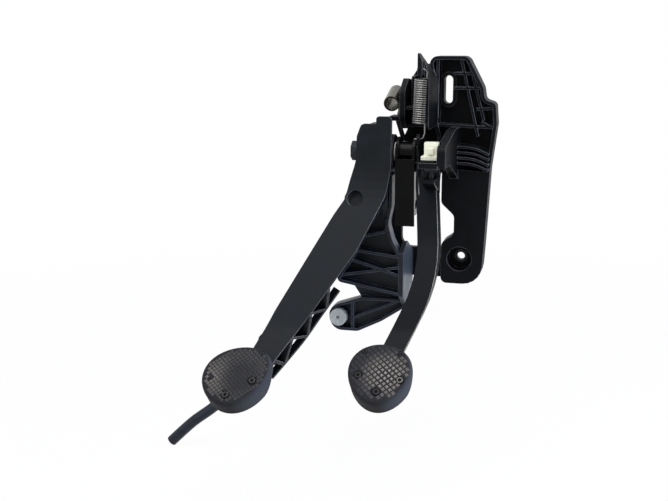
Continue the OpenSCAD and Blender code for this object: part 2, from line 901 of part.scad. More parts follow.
// Space of the arm's straight part: its own Z runs up the front face, its own Y into the arm
module arm_space() {
  translate([0, clutch_front[1][0], clutch_front[1][1]])
    rotate([-arm_lean, 0, 0])
      children();
}

// Room in the arm's web for the fork of the push rod and for its swing about the pin
module rod_pocket() {
  bar_x(cylinder_x - 10, 20, pin_y, pin_z, pin_d / 2 + 8.5);
  side_slab(cylinder_x - 10, 20)
    translate([pin_y, pin_z])
      polygon([[-2, 8], [45, 8], [45, -28], [-2, -10]]);
}

// Zig-zag of ribs between the front and the back of the arm, from one length along it to another
module truss(from, to, count, thick, depth) {
  front = smooth(clutch_front);
  step = (to - from) / count;
  for (i = [0 : count - 1]) {
    near = i % 2 == 0 ? 2 : depth - 1;
    distant = i % 2 == 0 ? depth - 1 : 2;
    ends = [along(front, from + step * i, near), along(front, from + step * (i + 1), distant)];
    polygon(band(ends, -thick / 2, thick / 2));
  }
}

// Point at a length along a path, and a depth behind it
function along(path, s, d, i = 0) =
  let (a = path[i], b = path[i + 1], l = norm(b - a))
  s <= l || i == len(path) - 2 ? a + unit(b - a) * s + left_of(a, b) * d : along(path, s - l, d, i + 1);

// Frame of the thumb recess: its own Z leaves the arm's front face
module thumb_frame() {
  translate(thumb)
    rotate([66, 0, 0])
      children();
}

module clutch_pad_rubber() {
  color([0.15, 0.15, 0.15])
    difference() {
      pad_frame(clutch_pad)
        pad_rubber(128, clutch_pad_h);
      pad_frame(clutch_pad)
        translate([-34, 0, -60])
          cube([74, 60, 60 + plate_back + side_gap]);
    }
}

// Ring of a swept wire round point p, square to direction t
function ring(p, t, r, sides) =
  let (
    n = unit(cross(t, abs(t[1]) < 0.9 ? [0, 1, 0] : [1, 0, 0])),
    b = cross(t, n)
  )
  [for (k = [0 : sides - 1]) p + r * (n * cos(360 * k / sides) + b * sin(360 * k / sides))];

function tangent(path, i) = unit(path[min(i + 1, len(path) - 1)] - path[max(i - 1, 0)]);

// Round wire swept along a 3-D path as one closed solid
module swept(path, r, sides) {
  n = len(path);
  points = [for (i = [0 : n - 1]) each ring(path[i], tangent(path, i), r, sides)];
  lower = [for (i = [0 : n - 2]) for (k = [0 : sides - 1])
    [i * sides + k, i * sides + (k + 1) % sides, (i + 1) * sides + k]];
  upper = [for (i = [0 : n - 2]) for (k = [0 : sides - 1])
    [i * sides + (k + 1) % sides, (i + 1) * sides + (k + 1) % sides, (i + 1) * sides + k]];
  start = [[for (k = [sides - 1 : -1 : 0]) k]];
  end = [[for (k = [0 : sides - 1]) (n - 1) * sides + k]];
  polyhedron(points, concat(start, lower, upper, end), 4);
}

// Extension spring between the horn and the ear, with a hook through each
module brake_spring() {
  r = spring_od / 2 - spring_wire / 2;
  x = 30;
  steps = 12 * spring_coils;
  high = [x, horn_y, horn_z - 0.9];
  low = [x, ear_y, ear_z + 0.6];
  top = high - [0, 0, 10];
  bottom = low + [0, 0, 16.4];
  coil = [for (i = [0 : steps]) top + (bottom - top) * i / steps + r * [cos(30 * i), sin(30 * i), 0]];
  upper = [for (p = [[-5, 0], [1, 0], [r * 0.8, -1.5], [r, -5]]) high + [p[0], 0, p[1]]];
  lower = [for (p = [[r, 10], [r, 5], [r * 0.8, 1.5], [1, 0], [-5, 0]]) low + [p[0], 0, p[1]]];
  color([0.75, 0.76, 0.76])
    swept(concat(upper, coil, lower), spring_wire / 2, 6);
}

module switch_body() {
  color([0.91, 0.9, 0.78])
    difference() {
      union() {
        translate([switch_x, switch_y, 112])
          cylinder(h = 13, r = switch_d / 2);
        translate([switch_x - 10, switch_y - 8, 124])
          cube([17, 16, 4]);
        translate([switch_x - 7, switch_y - 6, 127])
          cube([14, 12, 15]);
        translate([switch_x - 3, switch_y - 8, 130])
          cube([6, 4, 6]);
      }
      translate([switch_x - 5.8, switch_y - 4.3, 130])
        cube([11.6, 8.6, 20]);
      translate([switch_x, switch_y, 100])
        cylinder(h = 24, r = plunger_d / 2 + run_gap);
    }
}

module switch_terminals() {
  color([0.8, 0.8, 0.78])
    for (dx = [-3.6, -1.2, 1.2, 3.6])
      translate([switch_x + dx - 0.4, switch_y - 1.4, 130])
        cube([0.8, 2.8, 9]);
}

module switch_collar() {
  color([0.09, 0.09, 0.1])
    difference() {
      union() {
        translate([switch_x, switch_y, 112])
          cylinder(h = 10, r = switch_d / 2 + 2);
        translate([switch_x, switch_y, 122])
          cylinder(h = 2, r = switch_d / 2 + 4.5);
      }
      translate([switch_x, switch_y, 100])
        cylinder(h = 40, r = switch_d / 2);
    }
}

module switch_clip() {
  r = switch_d / 2 + 2;
  color([0.72, 0.72, 0.7]) {
    difference() {
      translate([switch_x, switch_y, 113.5])
        cylinder(h = 2.5, r = r + 1);
      translate([switch_x, switch_y, 110])
        cylinder(h = 10, r = r);
    }
    for (side = [-1, 1])
      translate([switch_x + side * (r + 0.6) - 0.4, switch_y - 2, 108])
        cube([0.8, 4, 6]);
  }
}

module switch_plunger() {
  color([0.85, 0.85, 0.83])
    translate([switch_x, switch_y, striker_z + run_gap])
      cylinder(h = 123.5 - striker_z, r = plunger_d / 2);
}

module cylinder_body() {
  color([0.2, 0.21, 0.22])
    difference() {
      union() {
        bar_y(mouth_y, nose_y - mouth_y, cylinder_x, cylinder_z, cylinder_r);
        bar_y(nose_y, port_y - nose_y, cylinder_x, cylinder_z, port_d / 2 + 3.5);
        front_slab(-plate_t, 6)
          union() {
            for (side = [-1, 1])
              translate([cylinder_x + side * (cylinder_r + 7), cylinder_z])
                circle(r = 7.5);
            translate([cylinder_x - cylinder_r - 7, cylinder_z - 7.5])
              square([2 * cylinder_r + 14, 15]);
          }
        elbow_frame()
          translate([0, 0, cylinder_bore / 2 + 1])
            cylinder(h = cylinder_wall + 4, r = 6.5);
      }
      bar_y(mouth_y - 1, spring_end_y - mouth_y + 1, cylinder_x, cylinder_z, cylinder_bore / 2);
      bar_y(circlip_y, circlip_t, cylinder_x, cylinder_z, cylinder_bore / 2 + 1.3);
      bar_y(spring_end_y - 1, 40, cylinder_x, cylinder_z, 1.5);
      bar_y(port_y - 10, 20, cylinder_x, cylinder_z, port_d / 2);
      for (side = [-1, 1])
        bar_y(-plate_t - 20, 40, cylinder_x + side * (cylinder_r + 7), cylinder_z, 3);
      elbow_frame()
        cylinder(h = 40, r = 4);
    }
}

// Space of the supply port: its own Z leaves the barrel down and to the left
module elbow_frame() {
  translate([cylinder_x, elbow_y, cylinder_z])
    rotate([0, -135, 0])
      children();
}

module supply_elbow() {
  color([0.1, 0.1, 0.11])
    elbow_frame()
      difference() {
        union() {
          translate([0, 0, cylinder_bore / 2 + 1.5])
            cylinder(h = 10, r = 4);
          translate([0, 0, cylinder_bore / 2 + cylinder_wall + 5])
            cylinder(h = 16, r = elbow_r);
        }
        translate([0, 0, socket_floor])
          cylinder(h = 20, r = hose_d / 2 + run_gap);
        cylinder(h = 40, r = 2);
      }
}

module cylinder_screws() {
  color([0.72, 0.73, 0.74])
    for (side = [-1, 1]) {
      bar_y(-plate_t - 6, plate_t + 5, cylinder_x + side * (cylinder_r + 7), cylinder_z, 3);
      bar_y(-plate_t - 11, 5, cylinder_x + side * (cylinder_r + 7), cylinder_z, 5);
    }
}

module cylinder_circlip() {
  color([0.6, 0.6, 0.58])
    difference() {
      bar_y(circlip_y, circlip_t, cylinder_x, cylinder_z, cylinder_bore / 2 + 1.3);
      bar_y(circlip_y - 1, circlip_t + 2, cylinder_x, cylinder_z, cylinder_bore / 2 - 2.4);
      translate([cylinder_x - 3, circlip_y - 1, cylinder_z])
        cube([6, circlip_t + 2, 20]);
    }
}

module clutch_piston() {
  color([0.75, 0.75, 0.72])
    difference() {
      bar_y(piston_y, piston_l, cylinder_x, cylinder_z, piston_r);
      bar_y(piston_y - 1, socket_l + 1, cylinder_x, cylinder_z, socket_r);
      for (y = [1.5, 16])
        piston_groove(piston_y + y, 2.5, piston_r - 2.2);
      piston_groove(piston_y + 6, 8, socket_r + 1);
    }
}

module piston_groove(y, w, r) {
  difference() {
    bar_y(y, w, cylinder_x, cylinder_z, cylinder_bore);
    bar_y(y - 1, w + 2, cylinder_x, cylinder_z, r);
  }
}

module piston_seals() {
  color([0.1, 0.1, 0.1])
    for (y = [1.5, 16])
      difference() {
        bar_y(piston_y + y, 2.5, cylinder_x, cylinder_z, piston_r);
        bar_y(piston_y + y - 1, 5, cylinder_x, cylinder_z, piston_r - 2.2);
      }
}

module piston_spring() {
  turns = 6;
  r = cylinder_bore / 2 - 3;
  from = piston_y + piston_l + piston_wire / 2;
  to = spring_end_y - piston_wire / 2;
  steps = 12 * turns;
  path = [for (i = [0 : steps])
    [cylinder_x + r * cos(30 * i), from + (to - from) * i / steps, cylinder_z + r * sin(30 * i)]];
  color([0.7, 0.7, 0.7])
    swept(path, piston_wire / 2, 6);
}

// Push rod: fork round the arm's web, round shank with a blunt tip in the piston
module push_rod() {
  tip_y = piston_y + socket_l - 0.4;
  half = 2 + side_gap + 3;
  color([0.68, 0.68, 0.66])
    difference() {
      union() {
        for (side = [-1, 1])
          side_slab(cylinder_x + (side > 0 ? 2 + side_gap : -half), 3)
            union() {
              translate([pin_y, pin_z])
                circle(r = pin_d / 2 + 3);
              translate([pin_y, pin_z - 5])
                square([18, 10]);
            }
        translate([cylinder_x - half, pin_y + 15, pin_z - 5])
          cube([2 * half, 5, 10]);
        bar_y(pin_y + 18, tip_y - pin_y - 18, cylinder_x, pin_z, rod_d / 2);
      }
      bar_x(cylinder_x - 20, 40, pin_y, pin_z, pin_d / 2);
    }
}

module push_rod_pin() {
  half = 2 + side_gap + 3;
  color([0.6, 0.6, 0.6]) {
    bar_x(cylinder_x - half - 4, 2 * half + 4, pin_y, pin_z, pin_d / 2);
    bar_x(cylinder_x + half, 2, pin_y, pin_z, pin_d / 2 + 2);
  }
}

module pin_clip() {
  half = 2 + side_gap + 3;
  color([0.5, 0.5, 0.48])
    difference() {
      bar_x(cylinder_x - half - 2, 1.5, pin_y, pin_z, pin_d / 2 + 2.5);
      bar_x(cylinder_x - half - 3, 4, pin_y, pin_z, pin_d / 2);
    }
}

module supply_hose() {
  color([0.1, 0.11, 0.14])
    swept(hose_path(hose_route), hose_d / 2, 10);
}

// Smooth curve through the route points, four rings to each span
function hose_path(p) =
  let (
    n = len(p),
    spans = [for (i = [0 : n - 2]) for (k = [0 : 3])
      spline(p[max(i - 1, 0)], p[i], p[i + 1], p[min(i + 2, n - 1)], k / 4)]
  )
  concat(spans, [p[n - 1]]);

function spline(a, b, c, d, t) =
  b + 0.5 * t * ((c - a) + t * (2 * a - 5 * b + 4 * c - d + t * (3 * (b - c) + d - a)));

main_bracket();
clutch_leg();
leg_screws();
bolt_bushes();
rolled_eye();
eye_screws();
stop_buffer();
pivot_bolt();
pivot_washer();
pivot_insert();
brake_tube();
brake_arm();
brake_fork();
spring_ear();
brake_pad_plate();
brake_pad_rubber();
brake_bush_left();
brake_bush_right();
clutch_arm();
clutch_pad_rubber();
clutch_bush_left();
clutch_bush_right();
brake_spring();
switch_body();
switch_collar();
switch_clip();
switch_terminals();
switch_plunger();
cylinder_body();
cylinder_screws();
cylinder_circlip();
clutch_piston();
piston_seals();
piston_spring();
push_rod();
push_rod_pin();
pin_clip();
supply_elbow();
supply_hose();
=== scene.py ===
# %% [markdown]
# # A hanging pedal box
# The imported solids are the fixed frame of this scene. Rigid pieces keep their own shape and get
# a finish; rubber, springs, screws and the hose get pieces of their own, in the same place.

# %% Load the frame
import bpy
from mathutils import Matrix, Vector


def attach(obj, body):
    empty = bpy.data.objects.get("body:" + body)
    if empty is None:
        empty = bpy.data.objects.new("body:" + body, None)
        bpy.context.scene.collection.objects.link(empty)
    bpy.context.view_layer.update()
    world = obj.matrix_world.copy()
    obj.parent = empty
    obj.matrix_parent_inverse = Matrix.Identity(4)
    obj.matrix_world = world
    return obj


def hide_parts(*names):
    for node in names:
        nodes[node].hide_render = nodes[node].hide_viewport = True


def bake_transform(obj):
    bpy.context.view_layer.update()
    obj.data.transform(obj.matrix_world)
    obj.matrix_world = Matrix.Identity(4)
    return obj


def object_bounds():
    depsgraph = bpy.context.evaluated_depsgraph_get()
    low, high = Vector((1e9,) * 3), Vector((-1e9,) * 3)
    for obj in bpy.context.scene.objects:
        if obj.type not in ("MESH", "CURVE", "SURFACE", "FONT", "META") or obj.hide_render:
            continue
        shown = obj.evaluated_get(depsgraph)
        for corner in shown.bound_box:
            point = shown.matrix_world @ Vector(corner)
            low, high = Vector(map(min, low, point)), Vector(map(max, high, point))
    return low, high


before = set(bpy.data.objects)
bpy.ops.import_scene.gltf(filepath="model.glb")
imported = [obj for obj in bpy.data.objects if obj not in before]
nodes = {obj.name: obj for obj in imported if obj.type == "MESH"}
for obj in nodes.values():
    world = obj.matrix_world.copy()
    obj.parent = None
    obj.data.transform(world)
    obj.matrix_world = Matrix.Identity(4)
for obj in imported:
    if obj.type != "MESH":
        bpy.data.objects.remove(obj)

cad_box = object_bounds()

# %% [markdown]
# Sizes are written in millimetres, as a drawing has them, and turned to metres in one place.

# %% Common values
import random
from math import cos, hypot, pi, radians, sin

import bmesh
import bpy
from mathutils import Matrix, Vector

MM = 0.001
scene = bpy.context.scene
scene.view_settings.view_transform = "Standard"


def metres(*point):
    return Vector(point) * MM


print("cad box, mm:", [[round(v / MM) for v in corner] for corner in cad_box])

# %% [markdown]
# The photograph was taken from the driver's right, a little above the pedals. The camera stands
# 1.1 m away at 14 degrees round and 12 degrees up, which a fit of the pads and bolt plate gave.

# %% Camera
CAMERA_AT = metres(193.8, -1134.0, 245.1)
CAMERA_TO = metres(-66.5, -90.0, 16.4)
LENS_MM, SENSOR_MM = 53.35, 36
SEES_TO = 20


def aimed(place, target):
    return (target - place).to_track_quat("-Z", "Y").to_euler()


camera = bpy.data.objects.new("photo_camera", bpy.data.cameras.new("photo_camera"))
camera.data.lens = LENS_MM
camera.data.sensor_width = SENSOR_MM
camera.data.clip_end = SEES_TO
camera.location = CAMERA_AT
camera.rotation_euler = aimed(CAMERA_AT, CAMERA_TO)
scene.collection.objects.link(camera)
scene.camera = camera
print("camera is", round((CAMERA_TO - CAMERA_AT).length, 3), "m from the object")

# %% [markdown]
# One function adds a shader or geometry node, with its settings and its links, so that each tree
# below reads as a list. Another turns an sRGB hex colour, as a paint chart has it, to linear light.


# %% Node and colour helpers
def add_node(tree, kind, inputs=None, **settings):
    node = tree.nodes.new(kind)
    for name, value in settings.items():
        setattr(node, name, value)
    for key, value in (inputs or {}).items():
        if isinstance(value, bpy.types.NodeSocket):
            tree.links.new(value, node.inputs[key])
        else:
            node.inputs[key].default_value = value
    return node


def linear(hex_colour):
    channels = [int(hex_colour[i:i + 2], 16) / 255 for i in (1, 3, 5)]
    return (*[c / 12.92 if c <= 0.04045 else ((c + 0.055) / 1.055) ** 2.4 for c in channels], 1.0)


print("mid grey is", round(linear("#808080")[0], 3), "in linear light")

# %% [markdown]
# The studio is a white paper sweep under soft boxes. A white room would wash the dark mouldings
# out, so paper and world glow white only for the camera and in reflections. The object gets a dim
# bluish light from the world instead, and the rest from the lamps.

# %% World and floor
WHITE = (1, 1, 1, 1)
AMBIENT = 0.36
# The paper keeps a faint shadow near the object and fades to full white before its far edge
NEAR_WHITE, FADE_FROM, FADE_TO = 0.955, 0.45, 1.6
FLOOR_GAP = 2 * MM
FLOOR_HALF = 4


def sees_background(tree):
    path = add_node(tree, "ShaderNodeLightPath").outputs
    glossy = add_node(tree, "ShaderNodeMath",
                      {0: path["Is Camera Ray"], 1: path["Is Glossy Ray"]}, operation="MAXIMUM")
    either = add_node(tree, "ShaderNodeMath",
                      {0: glossy.outputs[0], 1: path["Is Transmission Ray"]}, operation="MAXIMUM")
    return either.outputs[0]


world = bpy.data.worlds.new("white_studio")
world.use_nodes = True
tree = world.node_tree
tree.nodes.clear()
seen = sees_background(tree)
ambient = add_node(tree, "ShaderNodeBackground", {"Color": linear("#dfe6f0"), "Strength": AMBIENT})
white = add_node(tree, "ShaderNodeBackground", {"Color": WHITE, "Strength": 1.0})
sky = add_node(tree, "ShaderNodeMixShader", {0: seen, 1: ambient.outputs[0], 2: white.outputs[0]})
add_node(tree, "ShaderNodeOutputWorld", {"Surface": sky.outputs[0]})
scene.world = world

floor_finish = bpy.data.materials.new("white_paper_sweep")
floor_finish.use_nodes = True
tree = floor_finish.node_tree
tree.nodes.clear()
seen = sees_background(tree)
paper = add_node(tree, "ShaderNodeBsdfDiffuse", {"Color": linear("#f4f4f2")})
glow = add_node(tree, "ShaderNodeEmission", {"Color": WHITE, "Strength": 1.0})
spot = add_node(tree, "ShaderNodeTexCoord").outputs["Object"]
away = add_node(tree, "ShaderNodeVectorMath", {0: spot}, operation="LENGTH")
whiter = add_node(tree, "ShaderNodeMapRange",
                  {0: away.outputs["Value"], 1: FADE_FROM, 2: FADE_TO, 3: NEAR_WHITE, 4: 1.0},
                  interpolation_type="SMOOTHSTEP")
most_glow = add_node(tree, "ShaderNodeMath", {0: seen, 1: whiter.outputs[0]}, operation="MULTIPLY")
mixed = add_node(tree, "ShaderNodeMixShader",
                 {0: most_glow.outputs[0], 1: paper.outputs[0], 2: glow.outputs[0]})
add_node(tree, "ShaderNodeOutputMaterial", {"Surface": mixed.outputs[0]})

floor_z = cad_box[0][2] - FLOOR_GAP
floor_mesh = bpy.data.meshes.new("floor")
floor_mesh.from_pydata([(x * FLOOR_HALF, y * FLOOR_HALF, floor_z)
                        for x, y in ((-1, -1), (1, -1), (1, 1), (-1, 1))], [], [(0, 1, 2, 3)])
floor_mesh.materials.append(floor_finish)
floor = bpy.data.objects.new("floor", floor_mesh)
scene.collection.objects.link(floor)
print("floor at", round(floor_z, 3), "m")

# %% [markdown]
# Four lamps light the object: a large box overhead, one at each side, and a narrow strip for a thin
# highlight on gloss paint. They are area lamps, because the size of a lamp sets how soft its shadow
# and how wide its highlight is, as with a real soft box.

# %% Soft boxes
LAMPS_TO = Vector((0, -0.1, 0.05))


def soft_box(name, at, size, watts, colour, mirrored=True):
    lamp = bpy.data.lights.new(name, "AREA")
    lamp.shape = "RECTANGLE"
    lamp.size, lamp.size_y = size
    lamp.energy = watts
    lamp.color = linear(colour)[:3]
    holder = bpy.data.objects.new(name, lamp)
    holder.location = at
    holder.rotation_euler = aimed(Vector(at), LAMPS_TO)
    holder.visible_glossy = mirrored
    scene.collection.objects.link(holder)


soft_box("overhead_box", (0.1, -0.5, 1.3), (1.2, 1.0), 17, "#ffffff")
# The right box lights, but isn't mirrored, because it would draw a white line on the arms
soft_box("right_box", (1.3, -0.5, 0.35), (0.6, 1.1), 16, "#e6eeff", mirrored=False)
soft_box("left_box", (-1.0, -1.1, 0.6), (0.8, 0.8), 6, "#e4edff")
soft_box("strip_box", (-0.35, -1.2, 0.9), (0.06, 0.5), 1.6, "#ffffff")
print("three soft boxes and a strip")

# %% [markdown]
# ## Finishes
# Most surfaces here are one of four things: glass-filled nylon, painted steel, plated steel or
# rubber. Each starts from two close colours in soft patches, a fine grain for the bump, and a
# rounded-edge normal, because a moulding or a folded sheet never has a knife edge. Where the normal
# turns at an edge, the colour shifts to a paler one: a painted highlight on the rounded edge. Faces
# that point right can take the same paler colour, as painted light from the right. Pictures of such
# surfaces would need an unwrapped mesh; noise in the object's own space needs none and keeps its
# size in millimetres.

# %% One finish from its real sizes
# Noise values between which the dark patches turn to the light ones
PATCH_FROM, PATCH_TO = 0.3, 0.7
# Cosines between the flat and the rounded normal: where the painted highlight on an edge starts,
# and where it is full
EDGE_LIGHT_FROM, EDGE_LIGHT_TO = 0.995, 0.85
# Share of the normal that points right: where an edge starts to count as a right one, and fully does
RIGHT_EDGE_FROM, RIGHT_EDGE_TO = 0.15, 0.5
RIGHT_EDGE_FADE_MM = 10
BEVEL_SAMPLES = 6


# rough holds the roughness of dark and light patches, and sheen the specular level. The right
# share paints light from the right on the faces that point right, in the highlight colour. The
# height limit keeps the painted edge highlight to right edges below that height. A Mix node's
# colours go in at sockets 6 and 7 and come out at 2.
def finish(name, dark, light, patch_mm, rough, grain_mm, grain_depth_mm, metallic=0.0, edge_mm=0.6,
           painted_light=None, edge_light_share=0.0, stretch=(1, 1, 1), worn_by=None, worn="#808080",
           sheen=0.5, right_light_share=0.0, right_light_from=(0.75, 0.9), right_edges_below_mm=None):
    material = bpy.data.materials.new(name)
    material.use_nodes = True
    tree = material.node_tree
    shader = tree.nodes["Principled BSDF"]
    place = add_node(tree, "ShaderNodeTexCoord").outputs["Object"]
    drawn = add_node(tree, "ShaderNodeMapping", {"Vector": place, "Scale": stretch}).outputs[0]
    patches = add_node(tree, "ShaderNodeTexNoise", {
        "Vector": drawn, "Scale": 1 / (patch_mm * MM), "Detail": 3.0, "Roughness": 0.6}).outputs[0]
    spread = add_node(tree, "ShaderNodeMapRange", {0: patches, 1: PATCH_FROM, 2: PATCH_TO}).outputs[0]
    colour = add_node(tree, "ShaderNodeMix", {0: spread, 6: linear(dark), 7: linear(light)},
                      data_type="RGBA").outputs[2]
    rounded = add_node(tree, "ShaderNodeBevel", {"Radius": edge_mm * MM},
                       samples=BEVEL_SAMPLES).outputs[0]
    # Edges turn to the paler colour: a painted highlight where the rounded normal leaves the flat one
    if painted_light:
        straight = add_node(tree, "ShaderNodeNewGeometry").outputs["Normal"]
        turn = add_node(tree, "ShaderNodeVectorMath", {0: rounded, 1: straight},
                        operation="DOT_PRODUCT").outputs["Value"]
        edge = add_node(tree, "ShaderNodeMapRange",
                        {0: turn, 1: EDGE_LIGHT_FROM, 2: EDGE_LIGHT_TO, 4: edge_light_share}).outputs[0]
        broken = add_node(tree, "ShaderNodeMath", {0: edge, 1: spread}, operation="MULTIPLY")
        some = add_node(tree, "ShaderNodeMath", {0: edge, 1: broken.outputs[0]}, operation="ADD")
        if right_edges_below_mm:
            facing = add_node(tree, "ShaderNodeSeparateXYZ", {0: rounded})
            on_right = add_node(tree, "ShaderNodeMapRange", {
                0: facing.outputs[0], 1: RIGHT_EDGE_FROM, 2: RIGHT_EDGE_TO})
            height = add_node(tree, "ShaderNodeSeparateXYZ", {0: place})
            low = add_node(tree, "ShaderNodeMapRange", {
                0: height.outputs[2], 1: right_edges_below_mm * MM,
                2: (right_edges_below_mm - RIGHT_EDGE_FADE_MM) * MM})
            there = add_node(tree, "ShaderNodeMath", {0: on_right.outputs[0], 1: low.outputs[0]},
                             operation="MULTIPLY")
            some = add_node(tree, "ShaderNodeMath", {0: some.outputs[0], 1: there.outputs[0]},
                            operation="MULTIPLY")
        # Faces that point right turn to the same paler colour: painted light from the right
        if right_light_share:
            across = add_node(tree, "ShaderNodeSeparateXYZ", {0: straight})
            right = add_node(tree, "ShaderNodeMapRange", {
                0: across.outputs[0], 1: right_light_from[0], 2: right_light_from[1], 4: right_light_share})
            some = add_node(tree, "ShaderNodeMath", {0: some.outputs[0], 1: right.outputs[0]},
                            operation="MAXIMUM")
        colour = add_node(tree, "ShaderNodeMix", {0: some.outputs[0], 6: colour, 7: linear(painted_light)},
                          data_type="RGBA").outputs[2]
    if worn_by:
        wear = add_node(tree, "ShaderNodeAttribute", attribute_name=worn_by).outputs["Fac"]
        colour = add_node(tree, "ShaderNodeMix", {0: wear, 6: colour, 7: linear(worn)},
                          data_type="RGBA").outputs[2]
    grain = add_node(tree, "ShaderNodeTexNoise", {
        "Vector": drawn, "Scale": 1 / (grain_mm * MM), "Detail": 2.0}).outputs[0]
    gloss = add_node(tree, "ShaderNodeMapRange", {
        0: patches, 1: PATCH_FROM, 2: PATCH_TO, 3: rough[0], 4: rough[1]}).outputs[0]
    bump = add_node(tree, "ShaderNodeBump", {"Strength": 1.0, "Distance": grain_depth_mm * MM,
                                             "Height": grain, "Normal": rounded}).outputs[0]
    shader.inputs["Metallic"].default_value = metallic
    shader.inputs["Specular IOR Level"].default_value = sheen
    tree.links.new(colour, shader.inputs["Base Color"])
    tree.links.new(gloss, shader.inputs["Roughness"])
    tree.links.new(bump, shader.inputs["Normal"])
    return material


# %% [markdown]
# The bracket, the leg and the clutch arm are glass-filled nylon from three moulds. One black for all
# would look flat, so each has a black, a gloss and painted highlights on its edges of its own. The
# leg's nylon is painted lighter and bluer, to stand for the bluish light it catches.

# %% Finishes of the mouldings
# Glass-filled nylon, moulded: blue-black, satin, with a faint fibre grain and painted highlights on
# the rib edges
bracket_nylon = finish("glass_filled_nylon_bracket", "#08090b", "#0e0f12", 14, (0.42, 0.56), 0.9, 0.03,
                       edge_mm=0.9, painted_light="#787b81", edge_light_share=0.55, sheen=0.08)
# The leg is the same nylon painted lighter and bluer, as bluish light on it, with painted highlights
# on its edges and paler still on the wall that faces right, as painted light from the right
leg_nylon_painted_light = finish("glass_filled_nylon_leg_painted_light", "#12151b", "#1d212a", 14, (0.35, 0.5), 0.9, 0.03,
                   edge_mm=1.0, painted_light="#6e7b8e", edge_light_share=0.5, sheen=0.25, right_light_share=0.22)
# The same nylon on the clutch arm, dulled by shoes, with a painted highlight along its right edges
# below 200 mm
arm_nylon = finish("glass_filled_nylon_arm", "#0d1013", "#15181c", 18, (0.45, 0.6), 0.8, 0.03,
                   edge_mm=1.5, painted_light="#85888d", edge_light_share=0.5, sheen=0.13,
                   right_edges_below_mm=200)
# Black acetal of the switch collar and plunger and the hose elbow
black_acetal = finish("black_acetal", "#0c0d0e", "#141516", 8, (0.35, 0.45), 0.5, 0.01, sheen=0.2)
# Cream nylon of the stop lamp switch, a little yellowed, with painted highlights on its edges
cream_nylon = finish("cream_nylon", "#e2dfc4", "#f0eed9", 6, (0.38, 0.5), 0.5, 0.015,
                     painted_light="#f6f4e4", edge_light_share=0.5)
# Natural acetal of the pivot bushes
white_acetal = finish("natural_acetal", "#cfcdc4", "#dddbd2", 6, (0.35, 0.45), 0.5, 0.01)
# Ribbed nylon of the master cylinder, with painted highlights on its rib edges
cylinder_nylon = finish("black_nylon_cylinder", "#101114", "#1a1c1f", 10, (0.4, 0.52), 0.8, 0.02,
                        painted_light="#484b50", edge_light_share=0.4, sheen=0.2)
print("moulded finishes made")

# %% [markdown]
# Steel is either painted or plated. The hub and fork are dipped in gloss black. The arm is satin,
# with a painted highlight along its right edges low down. Plated pieces vary a little in gloss.

# %% Finishes of the metal pieces
# Gloss black stoving paint over welded steel, with faint painted highlights on its edges
gloss_paint = finish("gloss_black_stoving_paint", "#050506", "#0a0b0c", 10, (0.1, 0.18), 1.2, 0.01,
                     painted_light="#3a3c3f", edge_light_share=0.3, sheen=0.08)
# Satin black electro-coat on folded sheet, with a painted highlight along the right edges below
# the switch
satin_paint = finish("satin_black_electrocoat", "#080a0d", "#0e1115", 16, (0.36, 0.48), 0.8, 0.012,
                     edge_mm=1.5, painted_light="#b9b7b0", edge_light_share=0.6, sheen=0.07,
                     right_edges_below_mm=104)
# Bright zinc plate on screws, washer, circlip, rod, pin and pin clip
bright_zinc = finish("bright_zinc_plate", "#85878a", "#a2a3a3", 5, (0.22, 0.36), 0.4, 0.006,
                     metallic=1.0)
# Yellow passivated zinc on the rolled eye
yellow_zinc = finish("yellow_passivated_zinc", "#4e4c45", "#6e6b61", 7, (0.2, 0.32), 0.5, 0.008,
                     metallic=1.0)
# Patented spring wire, drawn bright: smooth, so each turn shows a clear highlight
spring_wire = finish("bright_drawn_spring_wire", "#6c6c6a", "#8e8d8b", 3, (0.12, 0.2), 0.4, 0.004,
                     metallic=1.0)
# Phosphated steel of the pivot bolt, the bolt bushes and the switch clip, dark grey
phosphate = finish("phosphated_bolt_steel", "#242629", "#34363a", 4, (0.4, 0.55), 0.4, 0.008,
                   metallic=1.0)
# Brass of the threaded insert and the terminals
turned_brass = finish("turned_brass", "#b48f4a", "#cba863", 4, (0.25, 0.4), 0.3, 0.006, metallic=1.0)
# Turned aluminium of the piston, with the tool's fine rings along its axis
turned_alloy = finish("turned_aluminium", "#b9babb", "#cfd0d0", 4, (0.25, 0.38), 0.3, 0.006,
                      metallic=1.0, stretch=(1, 8, 1))
print("metal finishes made")

# %% [markdown]
# Rubber is dull and never quite black: dust sits in it and shoes polish it. The tops of the worn
# lozenges carry a number from 0 to 1, and the rubber turns pale by it.

# %% Finishes of the rubber pieces
# Pedal pad rubber, sulphur-cured, blue-black with dust, with painted light on the flanks that face
# right and faint painted highlights on its edges
pad_rubber = finish("pedal_pad_rubber", "#18191c", "#262527", 9, (0.62, 0.8), 0.5, 0.03,
                    worn_by="wear", worn="#968f85", painted_light="#474d57", edge_light_share=0.25, sheen=0.15,
                    right_light_share=0.55, right_light_from=(0.15, 0.8))
# Pale grey rubber of the stop buffer
buffer_rubber = finish("pale_grey_rubber", "#8f9392", "#a9adac", 5, (0.5, 0.65), 0.4, 0.02)
# Smooth extruded hose rubber, blue-black
hose_rubber = finish("extruded_hose_rubber", "#14171f", "#20252f", 12, (0.36, 0.5), 0.7, 0.015,
                     sheen=0.2)
# Nitrile of the piston seals, black; the same black paints shade in the pin holes and grooves round
# the pad studs
seal_rubber = finish("nitrile_rubber", "#050506", "#09090a", 5, (0.45, 0.6), 0.4, 0.01, sheen=0.06)
print("rubber finishes made")

# %% [markdown]
# Every solid now gets its finish. Those that a piece below replaces have one too, so that none is
# left bare.

